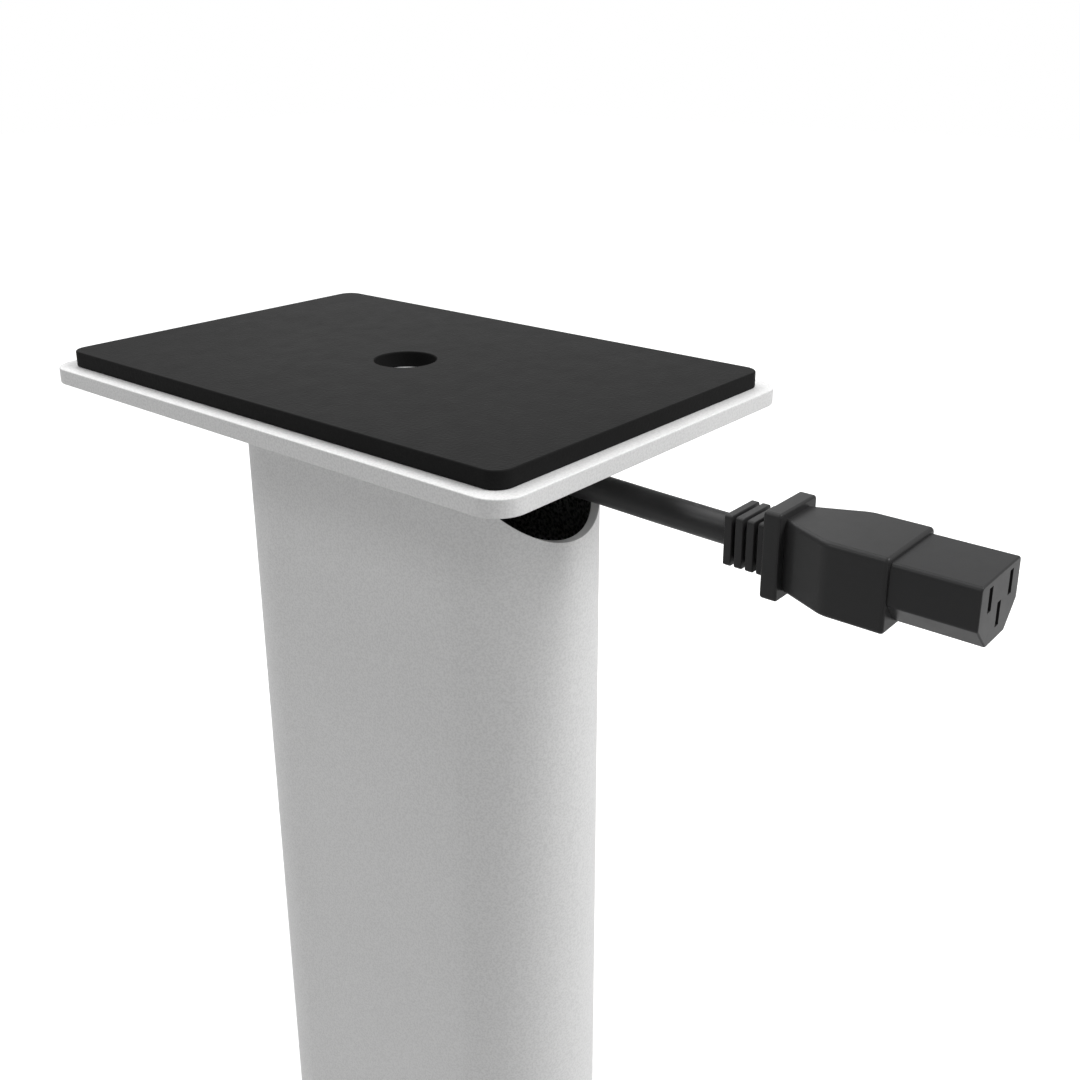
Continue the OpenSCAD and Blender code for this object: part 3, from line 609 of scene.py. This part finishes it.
def tube_columns():
    """Each column: outer x and y, inner x and y, outer and inner top, outer and inner foot, and 1 or -1
    where the notch's side steps up to the tube's top."""
    ro, ri = TUBE_R, TUBE_R - TUBE_WALL
    edge = math.asin(NOTCH_R / ro)
    cols = []
    for a in rear_angles(edge):
        xo, yo = ro * sin(a), TUBE_Y + TUBE_HALF + ro * cos(a)
        xi, yi = ri * sin(a), TUBE_Y + TUBE_HALF + ri * cos(a)
        inside = abs(a) <= edge + 1e-3
        step = abs(abs(a) - edge) < 1e-3
        cols.append((xo, yo, xi, yi, notch_top(xo) if inside else PILLAR_TOP,
                     notch_top(xi) if inside else PILLAR_TOP, arch_foot(xo), arch_foot(xi),
                     step and (1 if a > 0 else -1)))
    for i in range(61):
        a = -pi / 2 - pi * i / 60
        cols.append((ro * sin(a), TUBE_Y - TUBE_HALF + ro * cos(a),
                     ri * sin(a), TUBE_Y - TUBE_HALF + ri * cos(a),
                     PILLAR_TOP, PILLAR_TOP, BASE_TOP, BASE_TOP, 0))
    return cols


def make_pillar():
    """Oval tube: columns round the outline, each with its own top and foot where notch and arch cut it."""
    verts, ids = [], []
    for xo, yo, xi, yi, to, ti, fo, fi, step in tube_columns():
        base = len(verts)
        verts += [(xo, yo, fo), (xo, yo, to), (xi, yi, fi), (xi, yi, ti)]
        high = None
        if step:
            verts += [(xo, yo, PILLAR_TOP), (xi, yi, PILLAR_TOP)]
            high = (base + 4, base + 5)
        ids.append((base, base + 1, base + 2, base + 3, high, step, to))
    faces, index = [], []
    # Faces take the white coat, the inside's painted shade, or the rim's painted shade.
    painted, inner, shaded_rim = range(3)
    n = len(ids)
    for i in range(n):
        a, b = ids[i], ids[(i + 1) % n]
        a_high = a[5] == -1      # the high side of the left step follows its column
        b_high = b[5] == 1       # the high side of the right step comes before its column
        faces.append([a[0], b[0], b[1]] + ([b[4][0]] if b_high else [])
                     + ([a[4][0]] if a_high else []) + [a[1]])
        index.append(painted)
        faces.append([a[2], a[3]] + ([a[4][1]] if a_high else [])
                     + ([b[4][1]] if b_high else []) + [b[3], b[2]])
        index.append(inner)
        a_outer, a_inner = a[4] if a_high else (a[1], a[3])
        b_outer, b_inner = b[4] if b_high else (b[1], b[3])
        faces.append([a_outer, b_outer, b_inner, a_inner])
        # Rim faces of the notch take the mid grey, painted shade for the plate's shadow on them.
        index.append(shaded_rim if min(a[6], b[6]) < PILLAR_TOP - 3 else painted)
        faces.append([a[0], a[2], b[2], b[0]])
        index.append(painted)
    for k in ids:
        if k[4]:
            faces.append([k[1], k[4][0], k[4][1], k[3]])
            index.append(painted)
    return build("pillar_tube", verts, faces, [WHITE, INSIDE_SHADE, RIM_SHADE], index)


pillar = make_pillar()
lock_at = Matrix.Translation(((TUBE_WALL / 2 - TUBE_R) * MM, 0, LOCK_Z * MM))
hole = move(rod(LOCK_HOLE_R, -10, 10, 40), lock_at @ Matrix.Rotation(pi / 2, 4, "Y"))
cut(pillar, [hole])
place(soften(pillar, 0.25, 2, 40.0), "stand", "powder_coat", "pillar")


# ---------------------------------------------------------------- base and feet

base = prism("base", rrect(BASE_W, BASE_L, BASE_R, 14), BASE_LOW, BASE_TOP, [WHITE])
FEET = [(FOOT_X, FOOT_Y), (-FOOT_X, FOOT_Y), (-FOOT_X, -FOOT_Y), (FOOT_X, -FOOT_Y)]
SCREWS = [(sx * SCREW_X, SCREW_MIDDLE_Y + sy * SCREW_Y) for sx in (-1, 1) for sy in (-1, 1)]
tools = [rod(STUD_HOLE_R, 5, 18, 40, x, y) for x, y in FEET]
for x, y in SCREWS:
    c = lathe("cutter", [(0.01, 6), (SCREW_HEAD_R, 6), (SCREW_HEAD_R, BASE_LOW),
                         (SCREW_HOLE_R, BASE_LOW + SCREW_HEAD_R - SCREW_HOLE_R), (SCREW_HOLE_R, 18),
                         (0.01, 18)], (), 48)
    tools.append(move(c, Matrix.Translation((x * MM, y * MM, 0))))
cut(base, tools)
place(soften(base, 0.5), "stand", "powder_coat", "base_plate")


def make_foot(i, x, y):
    """Rubber cup, and steel disc with its threaded stud and hexagon socket."""
    cup = lathe("cup_%d" % i, [(0.01, 0), (15.2, 0), (15.7, 0.2), (16, 0.7), (16, 4.3), (15.7, 4.8),
                               (15.3, 5), (14.4, 5), (14.15, 4.8), (14.1, 3.02), (0.01, 3.02)], [SOLE], 72)
    place(move(cup, Matrix.Translation((x * MM, y * MM, 0))), "foot_%d" % i, "foot_rubber",
          "foot_cup_%d" % i)
    disc = lathe_loops([(0.01, 3.04), (13.7, 3.04), (14, 3.3), (14, 7.3), (13.7, 7.7), (13.3, 7.95),
                        (6.2, 8.0), (5.4, 8.0), (5.2, 8.02), (0.01, 8.02)], 72)
    # Stud with a real helix: radius, thread depth, pitch, foot and end
    radius, depth, pitch, z, z1 = 4.0, 0.62, 1.25, 8.0, 25.0
    n, rings = 40, []
    count = int((z1 - z) / (pitch / 6))
    for k in range(count + 1):
        lp = []
        zk = z + (z1 - z) * k / count
        for j in range(n):
            a = j / n
            f = ((zk / pitch) - a) % 1.0
            d = depth * abs(2 * f - 1)
            ends = max(0.0, zk - (z1 - 0.8)) + max(0.0, (z + 0.6) - zk)
            r = min(radius - d, radius - ends)
            lp.append((r * cos(2 * pi * a), r * sin(2 * pi * a), zk))
        rings.append(lp)
    o = loft("stud_%d" % i, [disc, rings], [ZINC])
    cut(o, [prism("cutter", hexagon(4.0), 21.6, 26, ())])
    place(move(o, Matrix.Translation((x * MM, y * MM, 0))), "foot_%d" % i, "foot_steel",
          "foot_stud_%d" % i, sharp=38)


for i, (x, y) in enumerate(FEET):
    make_foot(i + 1, x, y)


# ---------------------------------------------------------------- lock screw

def make_lock_screw():
    """Screw with a low domed head and a hexagon socket, turned on Z and laid along X."""
    r, h, cap = 5.25, 3.3, []
    for k in range(9):
        a = radians(90 * k / 8)
        cap.append((max(0.01, r * cos(a * 0.72) - 0.15 * sin(a)), 0.8 + (h - 0.8) * sin(a)))
    prof = [(0.01, -16.5), (2.4, -16.5), (2.95, -15.9), (2.95, 0), (r - 0.3, 0), (r, 0.3)]
    prof += cap + [(0.01, h)]
    o = lathe("lock_screw_piece", prof, [OXIDE], 56)
    cut(o, [prism("cutter", hexagon(3.9), 1.2, 5, ())])
    m = Matrix.Translation((LOCK_SEAT_X * MM, 0, LOCK_Z * MM)) @ Matrix.Rotation(-pi / 2, 4, "Y")
    place(move(o, m), "lock", "black_screws", "lock_screw", sharp=38)


make_lock_screw()


# ---------------------------------------------------------------- connector

def body_half(t):
    """Half width of the body at t from the flange: a straight taper, a round bend and a straight run."""
    half, root = BODY_W / 2, BODY_ROOT_W / 2
    lean = math.atan((half - root) / FLARE_LEN)
    bend_1 = FLARE_LEN + FLARE_R * math.tan(lean / 2)
    bend_0 = bend_1 - FLARE_R * sin(lean)
    if t >= bend_1:
        return half
    if t <= bend_0:
        return root + t * math.tan(lean)
    return half - FLARE_R + sqrt(FLARE_R ** 2 - (bend_1 - t) ** 2)


shell = []
for k in range(RIBS):
    y = CONN_Y0 + k * RIB_STEP
    rib = [(y, RIB_W, RIB_W, RIB_R), (y + RIB_T, RIB_W, RIB_W, RIB_R)]
    shell.append(along_y(eased(rib, 0.3, 0.3, 3), CONN_Z))
core = [(y, CORE_W, CORE_H, CORE_R) for y in (CONN_Y0 + 0.6, GUARD_Y0 + 1)]
shell.append(along_y(core, CONN_Z))
guard = [(GUARD_Y0, GUARD_W, GUARD_H, GUARD_R), (SHELL_Y0, GUARD_W, GUARD_H, GUARD_R)]
shell.append(along_y(eased(guard, 0.7, 0.7, 4), CONN_Z, 8))
flare = [(SHELL_Y0 - 1.0, 2 * body_half(0), BODY_H, BODY_R)]
flare += [(SHELL_Y0 + t, 2 * body_half(t), BODY_H, BODY_R)
          for t in [0, 3, 6, 9, 11.5] + [12.4 + 3.8 * k / 10 for k in range(11)]]
flare += [(SHELL_Y1, BODY_W, BODY_H, BODY_R)]
shell.append(along_y(eased(flare, 0, 1.0, 4), CONN_Z, 8))
conn_shell = place(loft("conn_shell", shell, [MOULDED]), "stand", "connector_plastic",
                   "connector_shell")


def inset_poly(pts, d):
    """Convex counter-clockwise outline moved inwards by d."""
    out, n = [], len(pts)
    for i in range(n):
        p0, p1, p2 = (Vector(pts[j % n]) for j in (i - 1, i, i + 1))
        d1, d2 = (p1 - p0).normalized(), (p2 - p1).normalized()
        n1, n2 = Vector((-d1.y, d1.x)), Vector((-d2.y, d2.x))
        out.append(tuple(p1 + (n1 + n2) * (d / (1 + n1.dot(n2)))))
    return out


def round_poly(pts, r, n):
    """The same outline with each corner rounded."""
    out, m = [], len(pts)
    inner = inset_poly(pts, r)
    for i in range(m):
        p0, p1, p2 = (Vector(pts[j % m]) for j in (i - 1, i, i + 1))
        d1, d2 = (p1 - p0).normalized(), (p2 - p1).normalized()
        a1 = math.atan2(-d1.x, d1.y)
        a2 = math.atan2(-d2.x, d2.y)
        while a2 < a1:
            a2 += 2 * pi
        c = Vector(inner[i])
        for k in range(n + 1):
            a = a1 + (a2 - a1) * k / n
            out.append((c.x + r * cos(a), c.y + r * sin(a)))
    return out


def make_insert():
    """Insert with two bevelled lower corners, a rounded front and three blind slots."""
    x, z, b, e = INSERT_W / 2, INSERT_H / 2, INSERT_BEVEL, INSERT_EASE
    outline = [(x, b - z), (x, z), (-x, z), (-x, b - z), (b - x, -z), (x - b, -z)]
    rear = SHELL_Y1 - INSERT_SUNK
    loops = []
    for y, d in ((rear, 0.3), (rear + 0.1, 0.0), (INSERT_Y1 - e, 0.0), (INSERT_Y1 - e * 0.5, e * 0.134),
                 (INSERT_Y1 - e * 0.134, e * 0.5), (INSERT_Y1, e)):
        pts = round_poly(inset_poly(outline, d), INSERT_R - d, 7)
        loops.append([(px, y, CONN_Z + pz) for px, pz in pts])
    o = loft("conn_insert", [loops], [INSERT])
    rise = 0.22 * INSERT_H
    tools = []
    for sx, sz in ((SLOT_X, rise), (-SLOT_X, rise), (0, rise - 0.92 * SLOT_H)):
        x0, x1, y0, y1 = sx - SLOT_W / 2, sx + SLOT_W / 2, INSERT_Y1 - SLOT_DEPTH, INSERT_Y1 + 2
        tools.append(prism("cutter", [(x0, y0), (x1, y0), (x1, y1), (x0, y1)],
                           CONN_Z + sz - SLOT_H / 2, CONN_Z + sz + SLOT_H / 2, ()))
    cut(o, tools)
    return place(o, "stand", "insert_plastic", "connector_insert", sharp=50)


conn_insert = make_insert()


# ---------------------------------------------------------------- mains plug and coil strap

def make_plug():
    """Mains plug: ribbed strain relief that widens towards a body with low finger ribs on both sides."""
    stacks = []
    n_ribs, length, d0, d1 = 6, 28.0, 11.1, 14.4
    rib = length / n_ribs
    sections = [(PLUG_X0, 10.6, 10.6, 5.2)]
    for i in range(n_ribs):
        d = d0 + (d1 - d0) * i / n_ribs
        x = PLUG_X0 + i * rib
        sections += [(x + 0.25, d, d, d / 2), (x + rib * 0.50, d, d, d / 2),
                     (x + rib * 0.55, d - 0.4, d - 0.4, d / 2),
                     (x + rib * 0.60, d * 0.87, d * 0.87, d * 0.43),
                     (x + rib * 0.95, d * 0.87, d * 0.87, d * 0.43)]
    sections.append((PLUG_X0 + length + 1, 13, 13, 6.4))
    stacks.append(along_x(sections, PLUG_Y, PLUG_Z, 10))
    # Body: a round neck that swells into the grip and draws in to the flat face
    x1 = PLUG_X0 + length
    body = [(x1, 14.6, 14.2, 6.4), (x1 + 0.8, 17.2, 15.6, 6.6), (x1 + 2.5, 19.2, 16.8, 6.5),
            (x1 + 6, 20.4, 17.6, 6.4), (x1 + 10, 20.8, 17.8, 6.4), (x1 + 12, 22.0, 19.0, 6.6),
            (x1 + 14, 24.4, 21.8, 7.0), (x1 + 16.5, 25.8, 23.6, 7.0), (x1 + 19, 26.0, 24.0, 6.8),
            (x1 + 24, 26.0, 24.0, 6.6), (x1 + 30, 26.0, 24.0, 6.4)]
    stacks.append(along_x(eased(body, 0, 1.1, 4), PLUG_Y, PLUG_Z, 10))
    # Low finger ribs on both flat sides
    for s in (-1, 1):
        for k in range(4):
            x = x1 + 17.5 + k * 2.6
            stacks.append([[(px, PLUG_Y + s * (12.6 + d), PLUG_Z + pz) for px, pz in
                            [(x + u, v) for u, v in rrect(1.2 - 2 * t, 11 - 2 * t, 0.55 - t * 0.5, 4)]]
                           for d, t in ((0, 0), (0.55, 0.0), (0.8, 0.25))])
    return place(loft("plug_body_piece", stacks, [MOULDED]), "stand", "connector_plastic", "plug_shell")


plug = make_plug()


def make_strap():
    """Strap round the coil's bundle: a closed band with its free end lapped over the top."""
    near = COIL_R - 1.5 * COIL_PITCH - CORD_D / 2 - 1
    far = COIL_R - 0.5 * COIL_PITCH + CORD_D / 2 + 0.5
    low, high = COIL_Z - CORD_D / 2 - 0.25, COIL_Z + COIL_PITCH + CORD_D / 2 + 0.5
    cx, cz = -COIL_R - (near + far) / 2, (low + high) / 2
    w, h = far - near, high - low
    loops = []
    for d, y in ((0.05, -5.9), (0.05, 5.9), (0.7, 5.9), (0.75, 5.6), (0.75, -5.6), (0.7, -5.9)):
        loops.append([(cx + px, COIL_Y + y, cz + pz) for px, pz in rrect(w + 2 * d, h + 2 * d, 2 + d, 8)])
    verts, faces = loft_data(loops, 0, True)
    lap = [[(cx + px, COIL_Y + py, high + z) for px, py in rrect(w * 0.62 - 2 * t, 11.4 - 2 * t, 1.2, 5)]
           for z, t in ((0.75, 0.0), (1.35, 0.0), (1.5, 0.2))]
    v2, f2 = loft_data(lap, len(verts))
    o = build("strap", verts + v2, faces + f2, [STRAP])
    return place(o, "stand", "tie_fabric", "coil_tie", sharp=50)


strap = make_strap()


# ---------------------------------------------------------------- finishes of the CAD pieces that stay

FINISHES = {
    "swivel_hub": OXIDE, "hub_screws": ZINC, "pivot_bolt": OXIDE, "clamp_washer": OXIDE,
    "spring_washer": OXIDE, "pivot_nut": OXIDE, "glide_ring": GLIDE, "top_bracket": PRIMER,
    "stop_pin": OXIDE, "sole_bracket": PRIMER, "base_screws": ZINC, "foot_locknuts": ZINC,
    "connector_contacts": BRASS, "plug_blades": NICKEL, "plug_earth_pin": NICKEL,
}
for name, m in FINISHES.items():
    o = NODES[name]
    o.data.materials.clear()
    o.data.materials.append(m)


# ---------------------------------------------------------------- studio

def area_light(name, at, target, size, power):
    """Square lamp that faces its target, with its side in metres and its power in watts."""
    data = bpy.data.lights.new(name, "AREA")
    data.shape = "RECTANGLE"
    data.size = data.size_y = size
    data.energy = power
    o = bpy.data.objects.new(name, data)
    o.location = at
    o.rotation_euler = (Vector(target) - Vector(at)).to_track_quat("-Z", "Y").to_euler()
    bpy.context.scene.collection.objects.link(o)


area_light("overhead", (-0.2, -1.0, 2.3), (0, 0, 0.6), 1.8, 24.0)
area_light("back_rim", (-1.9, -1.6, 1.5), (0, 0, 0.6), 1.5, 3.0)
area_light("left_fill", (1.7, -0.9, 2.4), (0, 0, 0.6), 0.6, 8.2)
area_light("rear_key", (-0.95, 1.6, 2.6), (0, 0, 0.5), 1.4, 58.5)

# Share of the white surroundings that gloss and glass see, and the surroundings' light on the stand
GLOSS_SHARE = 0.35
SKY_LIGHT = 0.374


def seen_share(tree):
    """1 for rays from the camera, GLOSS_SHARE for those that gloss or glass sends on, 0 for the rest."""
    rays = tree.nodes.new("ShaderNodeLightPath")

    def joined(operation, a, b):
        n = tree.nodes.new("ShaderNodeMath")
        n.operation = operation
        tree.links.new(a, n.inputs[0])
        if isinstance(b, float):
            n.inputs[1].default_value = b
        else:
            tree.links.new(b, n.inputs[1])
        return n.outputs[0]

    sent_on = joined("MAXIMUM", rays.outputs["Is Glossy Ray"], rays.outputs["Is Transmission Ray"])
    return joined("MAXIMUM", joined("MULTIPLY", sent_on, GLOSS_SHARE), rays.outputs["Is Camera Ray"])


world = bpy.data.worlds.new("studio")
bpy.context.scene.world = world
world.use_nodes = True
nt = world.node_tree
bg = nt.nodes["Background"]
bg.inputs["Color"].default_value = (1, 1, 1, 1)
bg.inputs["Strength"].default_value = SKY_LIGHT
seen = nt.nodes.new("ShaderNodeBackground")
seen.inputs["Color"].default_value = (1, 1, 1, 1)
seen.inputs["Strength"].default_value = 1.0
mix = nt.nodes.new("ShaderNodeMixShader")
nt.links.new(seen_share(nt), mix.inputs["Fac"])
nt.links.new(bg.outputs["Background"], mix.inputs[1])
nt.links.new(seen.outputs["Background"], mix.inputs[2])
nt.links.new(mix.outputs["Shader"], nt.nodes["World Output"].inputs["Surface"])

floor_mat = new_material("floor_white", (0.58, 0.58, 0.58), 0.9, 0.0, 0.0)
fb = floor_mat.node_tree.nodes["Principled BSDF"]
out = floor_mat.node_tree.nodes["Material Output"]
glow = node(floor_mat, "ShaderNodeEmission")
reach = node(floor_mat, "ShaderNodeVectorMath", operation="LENGTH")
wire(floor_mat, node(floor_mat, "ShaderNodeTexCoord"), "Object", reach, 0)
lift = node(floor_mat, "ShaderNodeMapRange", interpolation_type="SMOOTHSTEP")
for key, value in (("From Min", 0.35), ("From Max", 1.3), ("To Min", 0.50), ("To Max", 0.88)):
    lift.inputs[key].default_value = value
wire(floor_mat, reach, "Value", lift, "Value")
wire(floor_mat, lift, "Result", glow, "Strength")
add = node(floor_mat, "ShaderNodeAddShader")
pick = node(floor_mat, "ShaderNodeMixShader")
wire(floor_mat, fb, "BSDF", add, 0)
wire(floor_mat, glow, "Emission", add, 1)
floor_mat.node_tree.links.new(seen_share(floor_mat.node_tree), pick.inputs[0])
wire(floor_mat, fb, "BSDF", pick, 1)
wire(floor_mat, add, "Shader", pick, 2)
wire(floor_mat, pick, "Shader", out, "Surface")
FLOOR_HALF, FLOOR_DROP = 9000, -0.0003
floor = build("floor", [(x * FLOOR_HALF, y * FLOOR_HALF, 0) for x, y in ((-1, -1), (1, -1), (1, 1), (-1, 1))],
              [(0, 1, 2, 3)], [floor_mat])
floor.location.z = FLOOR_DROP

bpy.context.scene.view_settings.view_transform = "Standard"

bpy.context.view_layer.update()
